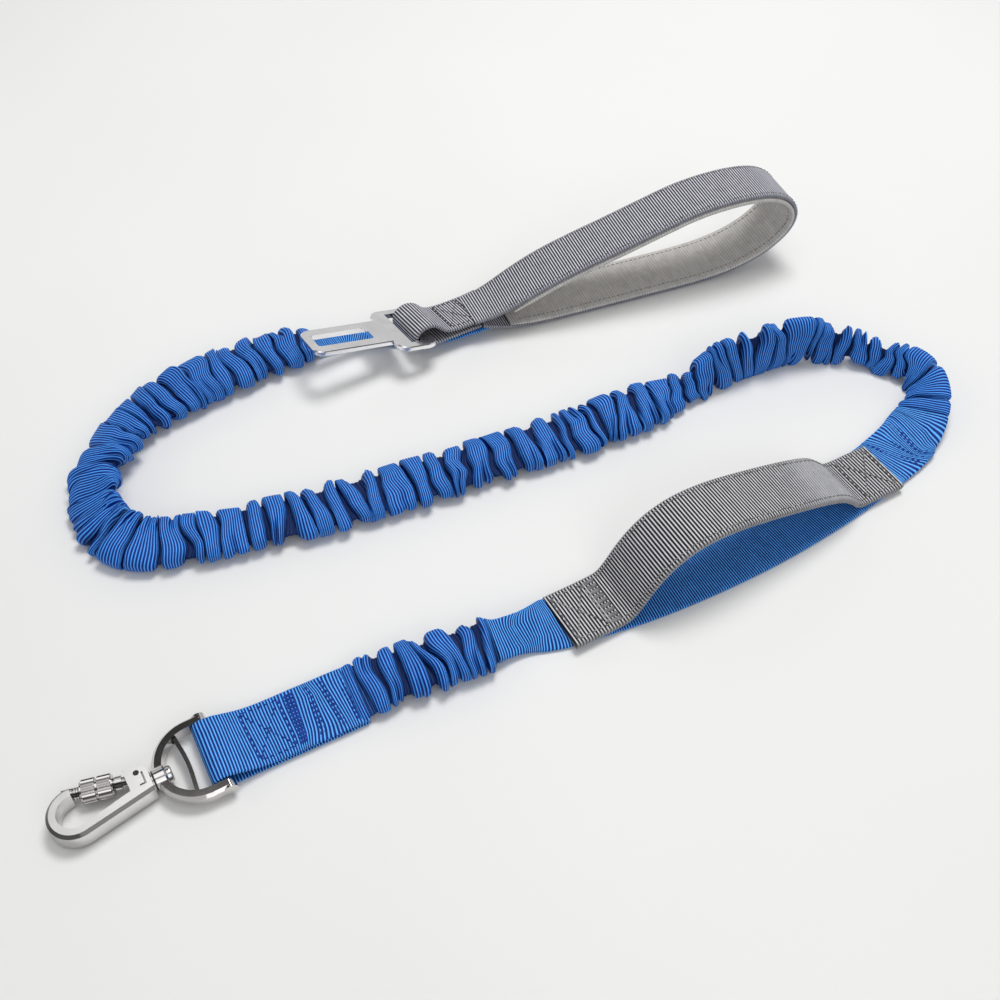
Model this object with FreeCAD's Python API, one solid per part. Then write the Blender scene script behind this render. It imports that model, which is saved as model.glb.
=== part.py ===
import FreeCAD, Part
import math
import os

# Bungee dog leash lying on a flat surface, in millimetres, +Z up.
# The origin is the middle of its footprint, on the surface.  +X runs along the long way
# of the layout, from the snap hook towards the traffic handle's rear pad.

V = FreeCAD.Vector
UP = V(0, 0, 1)

# ---- driving dimensions -------------------------------------------------------------
WEBBING_W = 24.0            # flat webbing, full width
WEBBING_T = 1.6             # one layer of webbing
GREY_T = 1.8                # heavier grey handle webbing
PADDING_T = 2.2             # soft lining of the hand loop
STITCH_W = 0.7              # width of a line of stitching
STITCH_H = 0.3              # how far stitching stands proud

SLEEVE_W = 21.0             # gathered sleeve, lying flat
SLEEVE_H = 9.0
SLEEVE_CORE_W = 15.0        # hollow inside the gathered sleeve
SLEEVE_CORE_H = 2.6
ARC_W = 8.0                 # gathered sleeve where it stands on edge
ARC_H = 16.0
TAIL_W = 11.0                # gathered end of the long bungee
ELASTIC_W = 14.6
ELASTIC_T = 2.2

METAL_TURN = 210.0          # heading of the snap hook, degrees from +X
SWIVEL_Z = 4.0              # height of the swivel axis and of the D ring's bar
BAR_PLACE = V(-106.7, -126.8, SWIVEL_Z)
BAR_R = 2.0
FOLD_INNER_R = 2.4          # webbing fold round the bar
FOLD_LENGTH = 11.3          # from the bar to where the two layers meet
RING_OUTER_R = 15.6         # D ring
RING_INNER_R = 12.2
RING_BOW_X = 5.0            # centre of the ring's round bow
RING_T = 5.0
CROSSBAR_X = 9.8
CROSSBAR_SAG = 1.2
CROSSBAR_W = 1.4
CROSSBAR_H = 3.6
COLLAR_R = 4.0
COLLAR_START = 16.4
COLLAR_END = 20.9
RIVET_R = 2.0
RIVET_HEAD_R = 3.0
RIVET_HEAD_T = 1.8
RIVET_DEPTH = 2.0           # how far the rivet is set into the block
RUNNING_FIT = 0.08          # radial clearance of turning and sliding fits

HOOK_T = 8.0                # thickness of the cast hook
HOOK_START = 21.45          # face of the block next to the washer
HOOK_EYE = V(46.5, -0.5, 0) # middle of the round nose
HOOK_OUTER_R = 9.3
HOOK_INNER_R = 5.9
CAST_GROOVE_DEPTH = 0.5     # L-shaped groove in the top of the block: from x, to x, from y, to y
CAST_GROOVES = [(23.0, 23.6, -3.2, 1.6), (23.6, 25.2, 1.0, 1.6)]
HOOK_BEVEL = 1.1
PIN_PLACE = V(25.0, -3.6, 0)
PIN_R = 1.0
GATE_TILT = -14.4           # heading of the closed gate from the swivel axis, degrees
GATE_LUG_R = 1.9
LUG_T = 2.4
GATE_ROD_R = 1.7
GATE_NECK_R = 2.3
THREAD_R = 2.0
THREAD_PITCH = 0.8
THREAD_TURNS = 5
THREAD_DEPTH = 0.3
GATE_END = 20.9             # free end of the gate, from the pin
NOSE_GAP = 0.15
BARREL_START = 8.0
BARREL_END = 18.4
BARREL_R = 4.0
BARREL_ROOT_R = 3.5
BARREL_TEETH = 26

TONGUE_T = 2.2              # pressed steel seat-belt tongue
TONGUE_RIM = 2.5            # half width of the bar behind the slot
TONGUE_SLOT_END = 7.5
TONGUE_SLOT_HALF = 14.2
TONGUE_SHOULDER_HALF = 18.3
TONGUE_SHOULDER_END = 14.5
TONGUE_BACK = -4.5
TONGUE_BLADE_HALF = 10.5
TONGUE_LENGTH = 50.0
TONGUE_HOLE = (21.0, 46.5)  # from and to, along the blade
TONGUE_HOLE_HALF = 5.2
RIM_PLACE = V(-49.5, 79.1, 8.5)
TONGUE_FORWARD = V(-0.866, -0.451, 0.216)
TONGUE_ACROSS = V(0.491, -0.849, 0.195)

# ---- routes, in plan, hand-placed ---------------------------------------------------
TAB_ROUTE = [(-73.5, -108.833), (-61, -103)]       # after the fold's straight end
SHORT_ROUTE = [(-61, -103), (-49, -97.4), (-35, -92.2), (-21, -86.5), (-14, -83.5)]
STRAP_ROUTE = [
    (-14, -83.5), (-3.5, -79), (7, -74.7), (25, -66.5), (45, -58.5), (69, -47),
    (92, -34), (115, -18.5), (131, -6), (143, 4),
]
LEAD_ROUTE = [(143, 4), (155.6, 14.5), (166, 27.5)]
ARC_ROUTE = [
    (166, 27.5), (174, 37.5), (174, 46), (167.5, 55), (158, 63), (146, 67.5),
    (134, 70), (123, 70), (111, 68), (98, 63.5), (86, 58), (75.5, 51),
    (64.25, 41.25), (53, 36),
]
RUN_ROUTE = [
    (53, 36), (38, 29), (20, 19.5), (0, 10.8), (-21, 1.5), (-43, -7.2),
    (-66, -17), (-89, -25), (-109, -31),
]
BEND_ROUTE = [
    (-109, -31), (-129, -37), (-148, -41), (-165, -33), (-174, -17), (-175, 1),
    (-168, 18), (-157.5, 32.5), (-144, 45), (-128.5, 55.5), (-114, 64),
    (-103, 70), (-95, 74),
]
TAIL_ROUTE = [(-95, 74), (-85, 79), (-71, 82.5), (-58, 84), (-46, 86.5), (-37, 90)]

LAYOUT_CENTRE = V(-3.5525, -0.1925, 0)   # middle of the footprint, moved to the origin

# The traffic handle and the hand loop bend in upright planes: the route is (along, up).
HANDLE_PLACE = V(14.5, -72.0, 0)
HANDLE_TURN = 29.8
HANDLE_ROUTE = [
    (-4, 4.0), (19, 4.0), (24, 11), (31, 20), (42, 27.5), (57, 29.5), (74, 27),
    (93, 22), (110, 15.5), (121, 8.5), (128, 4.0), (152, 4.0),
]
LOOP_PLACE = V(30.2, 112.5, 0)
LOOP_TURN = 21.0
LOOP_ROUTE = [
    (-58, 4.8), (-44, 2.2), (-26, 1.0), (0, 0.95), (30, 1.0), (58, 1.6), (76, 5.5),
    (90, 12.5), (97, 22), (95, 33), (86, 40), (70, 43), (48, 42.5), (24, 37.5),
    (0, 29.5), (-20, 23), (-38, 15.5), (-49, 9.6), (-58, 7.2),
]
# The keeper loop bends round the tongue's rim: (along the tongue, up) from the rim.
# Its round part is centred on the tongue's hinge, which is the back edge of the rim.
KEEPER_ROUTE = [
    (-12, -3.9), (3.9, -3.9), (3.9, 1.85), (-0.6, 6.35), (-7.0, 6.35),
    (-10.2, 0.6), (-15, -1.5),
]
KEEPER_STACK = (-28.0, -9.0, -4.7, -0.7)    # sewn layers: from, to, bottom, top


# ---- plane geometry -----------------------------------------------------------------
def arc_radius(before, corner, after):
    """The largest comfortable arc at a corner: 0.45 of the shorter run, over tan(half turn)."""
    turn = (corner - before).getAngle(after - corner)
    shorter = min((corner - before).Length, (after - corner).Length)
    return 0.45 * shorter / math.tan(turn / 2), turn


def route_pieces(points):
    """Straight runs joined by tangent arcs: each is (start, middle or None, end, centre)."""
    points = [V(x, y, 0) for x, y in points]
    pieces = []
    start = points[0]
    for before, corner, after in zip(points, points[1:], points[2:]):
        radius, turn = arc_radius(before, corner, after)
        cut = radius * math.tan(turn / 2)
        into = (corner - before).normalize()
        out = (after - corner).normalize()
        arc_start = corner - into * cut
        arc_end = corner + out * cut
        inward = (out - into).normalize()
        centre = corner + inward * (radius / math.cos(turn / 2))
        middle = centre - inward * radius
        pieces.append((start, None, arc_start, None))
        pieces.append((arc_start, middle, arc_end, centre))
        start = arc_end
    pieces.append((start, None, points[-1], None))
    return pieces


def offset_piece(piece, offset):
    """One run or arc moved sideways, to its left by offset."""
    start, middle, end, centre = piece
    if centre is None:
        left = UP.cross((end - start).normalize())
        return start + left * offset, None, end + left * offset
    radius = (start - centre).Length
    tangent = UP.cross(start - centre).normalize()
    onward = 1 if tangent.dot(end - start) > 0 else -1
    grown = (radius - onward * offset) / radius
    return tuple(centre + (p - centre) * grown for p in (start, middle, end))


def edge_of(points):
    start, middle, end = points
    if middle is None:
        return Part.LineSegment(start, end).toShape()
    return Part.Arc(start, middle, end).toShape()


def band(pieces, right, left):
    """The flat face between two offsets of a route."""
    one_side = [offset_piece(p, left) for p in pieces]
    other_side = [offset_piece(p, right) for p in pieces]
    edges = [edge_of(p) for p in one_side]
    edges.append(edge_of((one_side[-1][2], None, other_side[-1][2])))
    edges += [edge_of(p) for p in reversed(other_side)]
    edges.append(edge_of((other_side[0][0], None, one_side[0][0])))
    return Part.Face(Part.Wire(Part.__sortEdges__(edges)))


def ribbon(points, width, low, high):
    """A strap of one width lying level between two heights."""
    flat = band(route_pieces(points), -width / 2, width / 2)
    flat.translate(V(0, 0, low))
    return flat.extrude(V(0, 0, high - low))


def stood(shape, origin, along, upward):
    """A shape drawn in plan, moved so X runs along, Y upward, from an origin."""
    side = along.cross(upward)
    matrix = FreeCAD.Matrix(
        along.x, upward.x, side.x, origin.x,
        along.y, upward.y, side.y, origin.y,
        along.z, upward.z, side.z, origin.z,
        0, 0, 0, 1,
    )
    moved = shape.copy()
    moved.Placement = FreeCAD.Placement(matrix).multiply(moved.Placement)
    return moved


def upright_band(pieces, below, above, width, origin, turn):
    """A band bent in an upright plane through origin, width across."""
    solid = band(pieces, below, above).extrude(V(0, 0, width))
    solid.translate(V(0, 0, -width / 2))
    along = V(math.cos(math.radians(turn)), math.sin(math.radians(turn)), 0)
    return stood(solid, origin, along, UP)


def extruded_profile(segments, depth):
    """A closed outline of named lines and arcs, each given by its points, extruded."""
    edges = []
    for kind, *points in segments:
        corners = [V(x, y, 0) for x, y in points]
        middle = corners[1] if kind == "arc" else None
        edges.append(edge_of((corners[0], middle, corners[-1])))
    return Part.Face(Part.Wire(edges)).extrude(V(0, 0, depth))


def box(x0, x1, y0, y1, z0, z1):
    return Part.makeBox(x1 - x0, y1 - y0, z1 - z0, V(x0, y0, z0))


def metal(shape):
    """From the snap hook's own frame (X to the nose, bar at 0) to the leash's."""
    shape = shape.copy()
    shape.rotate(V(0, 0, 0), UP, METAL_TURN)
    shape.translate(V(BAR_PLACE.x, BAR_PLACE.y, 0))
    return shape


def rod_x(radius, start, end):
    return Part.makeCylinder(radius, end - start, V(start, 0, SWIVEL_Z), V(1, 0, 0))


def along_gate(shape):
    """From a frame with X along the gate and the pin at 0 to the hook's own frame."""
    shape = shape.copy()
    shape.rotate(V(0, 0, 0), UP, GATE_TILT)
    shape.translate(PIN_PLACE)
    return shape


def tangent_point(start, centre, radius, side):
    """Where a line from start touches a circle, on its left (1) or right (-1)."""
    towards = centre - start
    heading = math.atan2(towards.y, towards.x)
    heading += side * math.asin(radius / towards.Length)
    length = math.sqrt(towards.Length**2 - radius**2)
    return start + V(math.cos(heading), math.sin(heading), 0) * length


def on_circle(centre, radius, degrees):
    a = math.radians(degrees)
    return centre + V(math.cos(a), math.sin(a), 0) * radius


def box_stitch(length, width):
    """A sewn box with a cross in it, lying at height 0, centred."""
    half = STITCH_W / 2
    outer = box(-length / 2, length / 2, -width / 2, width / 2, 0, STITCH_H)
    inner = box(
        -length / 2 + STITCH_W, length / 2 - STITCH_W,
        -width / 2 + STITCH_W, width / 2 - STITCH_W, 0, STITCH_H,
    )
    frame = outer.cut(inner)
    reach = math.hypot(length, width) / 2 - STITCH_W
    lean = math.degrees(math.atan2(width, length))
    for turn in (lean, -lean):
        bar = box(-reach, reach, -half, half, 0, STITCH_H)
        bar.rotate(V(0, 0, 0), UP, turn)
        frame = frame.fuse(bar)
    return frame.removeSplitter()


def laid(shape, place, turn, height):
    """A flat piece put down at a place in plan, turned, at a height."""
    shape = shape.copy()
    shape.rotate(V(0, 0, 0), UP, turn)
    shape.translate(V(place[0], place[1], height))
    return shape


# ---- snap hook ----------------------------------------------------------------------
def hook_body():
    back = V(HOOK_START, 4.6, 0)
    inner_corner = V(28.6, 1.7, 0)
    gate_corner = V(28.8, -7.0, 0)
    front = V(HOOK_START, -4.4, 0)
    nose_angle = -95.0
    outer_start = tangent_point(back, HOOK_EYE, HOOK_OUTER_R, 1)
    outer_end = on_circle(HOOK_EYE, HOOK_OUTER_R, nose_angle)
    inner_end = on_circle(HOOK_EYE, HOOK_INNER_R, nose_angle)
    inner_start = tangent_point(inner_corner, HOOK_EYE, HOOK_INNER_R, 1)
    outline = Part.Wire([
        edge_of((back, None, outer_start)),
        edge_of((outer_start, on_circle(HOOK_EYE, HOOK_OUTER_R, 0), outer_end)),
        edge_of((outer_end, None, inner_end)),
        edge_of((inner_end, on_circle(HOOK_EYE, HOOK_INNER_R, 0), inner_start)),
        edge_of((inner_start, None, inner_corner)),
        edge_of((inner_corner, None, gate_corner)),
        edge_of((gate_corner, None, front)),
        edge_of((front, None, back)),
    ])
    body = Part.Face(outline).extrude(V(0, 0, HOOK_T))
    rim = []
    for edge in body.Edges:
        level = abs(edge.BoundBox.ZLength) < 1e-6
        middle = edge.valueAt((edge.FirstParameter + edge.LastParameter) / 2)
        outside = (middle - HOOK_EYE - V(0, 0, middle.z)).Length > HOOK_OUTER_R - 0.5
        spine = middle.y > 4.6 or middle.x > HOOK_EYE.x + HOOK_OUTER_R - 0.5
        if level and outside and spine:
            rim.append(edge)
    body = body.makeChamfer(HOOK_BEVEL, rim)
    stub_start = GATE_END + NOSE_GAP
    stub = Part.makeCylinder(
        THREAD_R, 3.4, V(stub_start, 0, SWIVEL_Z), V(1, 0, 0)
    )
    body = body.fuse(along_gate(stub))
    slot = box(-2.6, 8, -6, 2.6, SWIVEL_Z - 2.0, SWIVEL_Z + 2.0)
    slot.translate(PIN_PLACE)
    body = body.cut(slot)
    gate_sweep = Part.makeCylinder(
        GATE_END + NOSE_GAP, 2 * GATE_NECK_R, PIN_PLACE + V(0, 0, SWIVEL_Z - GATE_NECK_R)
    )
    near_nose = box(40, 50, -14, -5, 0, HOOK_T)
    body = body.cut(gate_sweep.common(near_nose))
    body = body.cut(Part.makeCylinder(PIN_R, HOOK_T, PIN_PLACE))
    body = body.cut(rod_x(RIVET_R, HOOK_START - 1, HOOK_START + RIVET_DEPTH))
    for x0, x1, y0, y1 in CAST_GROOVES:
        body = body.cut(box(x0, x1, y0, y1, HOOK_T - CAST_GROOVE_DEPTH, HOOK_T + 1))
    return metal(body.removeSplitter())


def gate_rod():
    """The gate: a flat lug on the pin, a turned rod and neck, and a thread at the nose."""
    steps = [(1.65, GATE_ROD_R), (5.2, GATE_NECK_R), (7.4, THREAD_R)]
    groove = THREAD_R - THREAD_DEPTH
    for i in reversed(range(THREAD_TURNS)):
        at = GATE_END - 0.5 - i * THREAD_PITCH
        steps += [(at, groove), (at + THREAD_PITCH / 2, THREAD_R)]
    outline = [V(steps[0][0], 0, 0)]
    for (x, radius), (after, _) in zip(steps, steps[1:] + [(GATE_END, 0)]):
        outline += [V(x, radius, 0), V(after, radius, 0)]
    outline += [V(GATE_END, 0, 0), outline[0]]
    rod = Part.Face(Part.makePolygon(outline)).revolve(V(0, 0, 0), V(1, 0, 0), 360)
    rod.translate(V(0, 0, SWIVEL_Z))
    lug = Part.makeCylinder(GATE_LUG_R, LUG_T, V(0, 0, SWIVEL_Z - LUG_T + 0.5))
    rod = lug.fuse(rod).cut(Part.makeCylinder(PIN_R + RUNNING_FIT, HOOK_T))
    return metal(along_gate(rod))


def gate_pin():
    return metal(Part.makeCylinder(PIN_R, HOOK_T, PIN_PLACE))


def gate_spring():
    """Closing spring: three turns of wire round the pin, over the gate's lug."""
    wire_r = 0.17
    coil_r = 1.42
    pitch = 0.36
    turns = 3
    helix = Part.makeHelix(pitch, pitch * turns, coil_r)
    section = Part.Wire(Part.makeCircle(wire_r, V(coil_r, 0, 0), V(0, 1, 0)))
    coil = Part.Wire(helix).makePipeShell([section], True, True)
    coil.translate(PIN_PLACE + V(0, 0, SWIVEL_Z + 0.7))
    return metal(coil)


def lock_barrel():
    teeth = []
    for i in range(BARREL_TEETH):
        step = 360.0 / BARREL_TEETH
        teeth.append(on_circle(V(0, 0, 0), BARREL_R, i * step))
        teeth.append(on_circle(V(0, 0, 0), BARREL_R - 0.35, (i + 0.5) * step))
    star = Part.Face(Part.makePolygon(teeth + teeth[:1]))
    body = Part.makeCylinder(BARREL_ROOT_R, BARREL_END - BARREL_START)
    for start in (0.5, 5.6):
        knurl = star.extrude(V(0, 0, 4.2))
        knurl.translate(V(0, 0, start))
        body = body.fuse(knurl)
    body = body.cut(Part.makeCylinder(THREAD_R + RUNNING_FIT, BARREL_END))
    body.rotate(V(0, 0, 0), V(0, 1, 0), 90)
    body.translate(V(BARREL_START, 0, SWIVEL_Z))
    return metal(along_gate(body))


# ---- swivel and D ring --------------------------------------------------------------
def swivel_eye():
    low = SWIVEL_Z - RING_T / 2
    bow = Part.makeCylinder(RING_OUTER_R, RING_T, V(RING_BOW_X, 0, low))
    bow = bow.fuse(
        box(0, RING_BOW_X, -RING_OUTER_R, RING_OUTER_R, low, low + RING_T)
    )
    bow = bow.removeSplitter()
    inside = Part.makeCylinder(RING_INNER_R, RING_T, V(RING_BOW_X, 0, low))
    inside = inside.fuse(
        box(-20, RING_BOW_X, -RING_INNER_R, RING_INNER_R, low, low + RING_T)
    )
    keep = box(0, 40, -20, 20, 0, 20)
    ring = bow.common(keep)
    bevelled = [
        e for e in ring.Edges
        if e.BoundBox.ZLength < 1e-6 and e.BoundBox.XMax > 0.1
    ]
    ring = ring.makeChamfer(1.0, bevelled).cut(inside)
    for side in (-1, 1):
        start = RING_INNER_R if side > 0 else -RING_OUTER_R
        end = Part.makeCylinder(
            RING_T / 2, RING_OUTER_R - RING_INNER_R, V(0, start, SWIVEL_Z), V(0, 1, 0)
        )
        ring = ring.fuse(end)
    bar = Part.makeCylinder(
        BAR_R, 2 * RING_INNER_R, V(0, -RING_INNER_R, SWIVEL_Z), V(0, 1, 0)
    )
    half = RING_INNER_R - 0.4
    ends = [(CROSSBAR_X, -half), (CROSSBAR_X - CROSSBAR_SAG, 0), (CROSSBAR_X, half)]
    crossbar = band(route_pieces(ends), -CROSSBAR_W / 2, CROSSBAR_W / 2)
    crossbar.translate(V(0, 0, SWIVEL_Z - CROSSBAR_H / 2))
    crossbar = crossbar.extrude(V(0, 0, CROSSBAR_H))
    collar = rod_x(COLLAR_R, COLLAR_START, COLLAR_END)
    collar = collar.makeChamfer(0.6, [e for e in collar.Edges if e.BoundBox.XLength < 1e-6])
    ring = ring.multiFuse([bar, crossbar, collar])
    ring = ring.cut(rod_x(RIVET_R + RUNNING_FIT, COLLAR_START - 4, COLLAR_END + 4))
    return metal(ring.removeSplitter())


def swivel_rivet():
    head_end = COLLAR_START - 0.1
    head = rod_x(RIVET_HEAD_R, head_end - RIVET_HEAD_T, head_end)
    head = head.makeFillet(
        0.9, [e for e in head.Edges if e.BoundBox.XMax < head_end - RIVET_HEAD_T + 1e-3]
    )
    shank = rod_x(RIVET_R, head_end - 0.5, HOOK_START + RIVET_DEPTH)
    return metal(head.fuse(shank).removeSplitter())


def swivel_washer():
    start = COLLAR_END + RUNNING_FIT
    ring = rod_x(3.6, start, HOOK_START).cut(rod_x(RIVET_R, start, HOOK_START))
    return metal(ring)


# ---- blue webbing -------------------------------------------------------------------
def tab_route():
    """The tab leaves the bar squarely, then bends to the short elastic part."""
    bar = V(BAR_PLACE.x, BAR_PLACE.y, 0)
    square = [on_circle(bar, FOLD_LENGTH * i, METAL_TURN - 180) for i in (1, 2)]
    return [(p.x, p.y) for p in square] + TAB_ROUTE


def clip_tab():
    """Webbing folded round the D ring's bar and sewn back on itself."""
    outer_r = FOLD_INNER_R + WEBBING_T
    middle = WEBBING_T - SWIVEL_Z
    top = middle + WEBBING_T
    profile = [
        ("line", (-FOLD_LENGTH, -SWIVEL_Z), (0, -outer_r)),
        ("arc", (0, -outer_r), (outer_r, 0), (0, outer_r)),
        ("line", (0, outer_r), (-FOLD_LENGTH, top)),
        ("line", (-FOLD_LENGTH, top), (-FOLD_LENGTH, -SWIVEL_Z)),
    ]
    opening = [
        ("line", (-FOLD_LENGTH + 1.0, middle), (0, -FOLD_INNER_R)),
        ("arc", (0, -FOLD_INNER_R), (FOLD_INNER_R, 0), (0, FOLD_INNER_R)),
        ("line", (0, FOLD_INNER_R), (-FOLD_LENGTH + 1.0, middle)),
    ]
    fold = extruded_profile(profile, WEBBING_W).cut(extruded_profile(opening, WEBBING_W))
    fold = stood(fold, V(0, WEBBING_W / 2, SWIVEL_Z), V(1, 0, 0), UP)
    layers = ribbon(tab_route(), WEBBING_W, 0, 2 * WEBBING_T)
    return metal(fold).fuse(layers).removeSplitter()


def clip_tab_box_stitch():
    return laid(box_stitch(15.5, 20.5), (-88.2, -116.6), 26.6, 2 * WEBBING_T)


def clip_tab_bartack():
    tack = box(-1.6, 1.6, -10.8, 10.8, 0, STITCH_H)
    return laid(tack, (-78.4, -111.7), 26.6, 2 * WEBBING_T)


def clip_tab_row_stitch():
    row = box(-STITCH_W, STITCH_W, -10.8, 10.8, 0, STITCH_H)
    places = [(-73.6, -109.3), (-68.4, -106.7), (-63.6, -104.3)]
    return Part.makeCompound([laid(row, p, 26.6, 2 * WEBBING_T) for p in places])


def sleeve(route, width, height, core_width, core_height):
    """A gathered webbing tube: its outer envelope, with the elastic's space in it."""
    outside = ribbon(route, width, 0, height)
    low = (height - core_height) / 2
    return outside.cut(ribbon(route, core_width, low, low + core_height))


def flat_sleeve(route):
    return sleeve(route, SLEEVE_W, SLEEVE_H, SLEEVE_CORE_W, SLEEVE_CORE_H)


def flat_elastic(route):
    low = (SLEEVE_H - ELASTIC_T) / 2
    return ribbon(route, ELASTIC_W, low, low + ELASTIC_T)


def edge_sleeve(route):
    return sleeve(route, ARC_W, ARC_H, SLEEVE_CORE_H, SLEEVE_CORE_W)


def edge_elastic(route):
    low = (ARC_H - ELASTIC_W) / 2
    return ribbon(route, ELASTIC_T, low, low + ELASTIC_W)


def traffic_strap():
    return ribbon(STRAP_ROUTE, WEBBING_W, 0, WEBBING_T)


def bungee_lead_in():
    return ribbon(LEAD_ROUTE, WEBBING_W, 0, WEBBING_T)


def tail_strap():
    """Flat end of the long bungee: under the tongue, then widening under the grey stack."""
    x0, x1, low, _ = KEEPER_STACK
    flat = ribbon(TAIL_ROUTE, TAIL_W, 0, WEBBING_T)
    end = rim_frame(box(x0 + 3, x1 - 1, -10.0, 11.5, low - WEBBING_T, low))
    return flat.fuse(end).removeSplitter()


# ---- traffic handle -----------------------------------------------------------------
def handle_layer(below, above):
    pieces = route_pieces(HANDLE_ROUTE)
    return upright_band(pieces, below, above, WEBBING_W, HANDLE_PLACE, HANDLE_TURN)


def traffic_handle():
    return handle_layer(-WEBBING_T / 2, WEBBING_T / 2)


def traffic_handle_lining():
    return handle_layer(-WEBBING_T * 1.5, -WEBBING_T / 2)


def handle_stitch(along):
    turn = math.radians(HANDLE_TURN)
    place = HANDLE_PLACE + V(math.cos(turn), math.sin(turn), 0) * along
    stitch = box_stitch(15.0, 20.5)
    return laid(stitch, (place.x, place.y), HANDLE_TURN, HANDLE_ROUTE[0][1] + WEBBING_T / 2)


# ---- seat-belt tongue and hand loop -------------------------------------------------
def rim_axes():
    """The keeper's frame: X along the tongue but level, Y along the rim, Z up from both."""
    across = V(TONGUE_ACROSS).normalize()
    along = V(across.y, -across.x, 0).normalize()
    return along, across, along.cross(across)


def rim_frame(shape):
    along, across, _ = rim_axes()
    return stood(shape, RIM_PLACE, along, across)


def tongue_frame(shape):
    across = V(TONGUE_ACROSS).normalize()
    up = TONGUE_FORWARD.cross(across).normalize()
    return stood(shape, RIM_PLACE, across.cross(up), across)


def rounded_plate(x0, x1, half, radius, corners):
    """A plate with its edges at chosen corners rounded; corners are signs of (x, y)."""
    plate = box(x0, x1, -half, half, -TONGUE_T / 2, TONGUE_T / 2)
    middle = (x0 + x1) / 2
    chosen = []
    for edge in plate.Edges:
        at = edge.CenterOfMass
        upright = edge.BoundBox.ZLength > TONGUE_T / 2
        corner = (1 if at.x > middle else -1, 1 if at.y > 0 else -1)
        if upright and corner in corners:
            chosen.append(edge)
    return plate.makeFillet(radius, chosen)


def buckle_tongue():
    blade = rounded_plate(
        TONGUE_SHOULDER_END - 3, TONGUE_LENGTH, TONGUE_BLADE_HALF, 4.5, [(1, 1), (1, -1)]
    )
    shoulder = rounded_plate(
        TONGUE_BACK, TONGUE_SHOULDER_END, TONGUE_SHOULDER_HALF, 5.5,
        [(-1, 1), (-1, -1), (1, 1), (1, -1)],
    )
    plate = blade.fuse(shoulder).removeSplitter()
    flat_edges = [
        e for e in plate.Edges if e.BoundBox.ZLength < 1e-6
    ]
    plate = plate.makeChamfer(0.35, flat_edges)
    deep = TONGUE_T
    slot = box(
        TONGUE_RIM, TONGUE_SLOT_END, -TONGUE_SLOT_HALF, TONGUE_SLOT_HALF, -deep, deep
    )
    hole = box(
        TONGUE_HOLE[0], TONGUE_HOLE[1], -TONGUE_HOLE_HALF, TONGUE_HOLE_HALF, -deep, deep
    )
    upright = [e for e in hole.Edges if e.BoundBox.ZLength > deep]
    hole = hole.makeFillet(1.2, upright)
    return tongue_frame(plate.cut(slot).cut(hole))


def keeper_loop():
    """Grey webbing round the tongue's rim, sewn flat on itself behind it."""
    x0, x1, low, high = KEEPER_STACK
    strip = band(route_pieces(KEEPER_ROUTE), -WEBBING_T / 2, WEBBING_T / 2)
    strip = strip.extrude(V(0, 0, WEBBING_W))
    strip = strip.fuse(box(x0, x1, low, high, 0, WEBBING_W)).removeSplitter()
    strip.translate(V(0, 0, -WEBBING_W / 2))
    along, _, up = rim_axes()
    return stood(strip, RIM_PLACE, along, up)


def loop_pieces():
    return route_pieces(LOOP_ROUTE)


def hand_loop():
    return upright_band(
        loop_pieces(), -GREY_T / 2, GREY_T / 2, WEBBING_W, LOOP_PLACE, LOOP_TURN
    )


def hand_loop_padding():
    inner = GREY_T / 2 + PADDING_T
    return upright_band(
        loop_pieces()[2:-2], GREY_T / 2, inner, WEBBING_W - 1, LOOP_PLACE, LOOP_TURN
    )


def hand_loop_stitch():
    x0, x1, _, high = KEEPER_STACK
    stitch = box_stitch(11.0, 20.0)
    stitch.translate(V((x0 + x1) / 2 - 2.5, 0, high))
    return rim_frame(stitch)


NODES = {
    "hook_body": hook_body,
    "gate_rod": gate_rod,
    "gate_pin": gate_pin,
    "gate_spring": gate_spring,
    "lock_barrel": lock_barrel,
    "swivel_eye": swivel_eye,
    "swivel_rivet": swivel_rivet,
    "swivel_washer": swivel_washer,
    "clip_tab": clip_tab,
    "clip_tab_box_stitch": clip_tab_box_stitch,
    "clip_tab_bartack": clip_tab_bartack,
    "clip_tab_row_stitch": clip_tab_row_stitch,
    "short_bungee_sleeve": lambda: flat_sleeve(SHORT_ROUTE),
    "short_bungee_elastic": lambda: flat_elastic(SHORT_ROUTE),
    "traffic_strap": traffic_strap,
    "traffic_handle": traffic_handle,
    "traffic_handle_lining": traffic_handle_lining,
    "handle_front_stitch": lambda: handle_stitch(6.0),
    "handle_rear_stitch": lambda: handle_stitch(140.5),
    "bungee_lead_in": bungee_lead_in,
    "arc_bungee_sleeve": lambda: edge_sleeve(ARC_ROUTE),
    "arc_bungee_elastic": lambda: edge_elastic(ARC_ROUTE),
    "run_bungee_sleeve": lambda: flat_sleeve(RUN_ROUTE),
    "run_bungee_elastic": lambda: flat_elastic(RUN_ROUTE),
    "bend_bungee_sleeve": lambda: flat_sleeve(BEND_ROUTE),
    "bend_bungee_elastic": lambda: flat_elastic(BEND_ROUTE),
    "tail_strap": tail_strap,
    "keeper_loop": keeper_loop,
    "buckle_tongue": buckle_tongue,
    "hand_loop": hand_loop,
    "hand_loop_padding": hand_loop_padding,
    "hand_loop_stitch": hand_loop_stitch,
}
ROUTES = {
    "clip tab": tab_route(),
    "short bungee": SHORT_ROUTE,
    "traffic strap": STRAP_ROUTE,
    "lead-in": LEAD_ROUTE,
    "arc": ARC_ROUTE,
    "run": RUN_ROUTE,
    "bend": BEND_ROUTE,
    "tail": TAIL_ROUTE,
}


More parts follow.
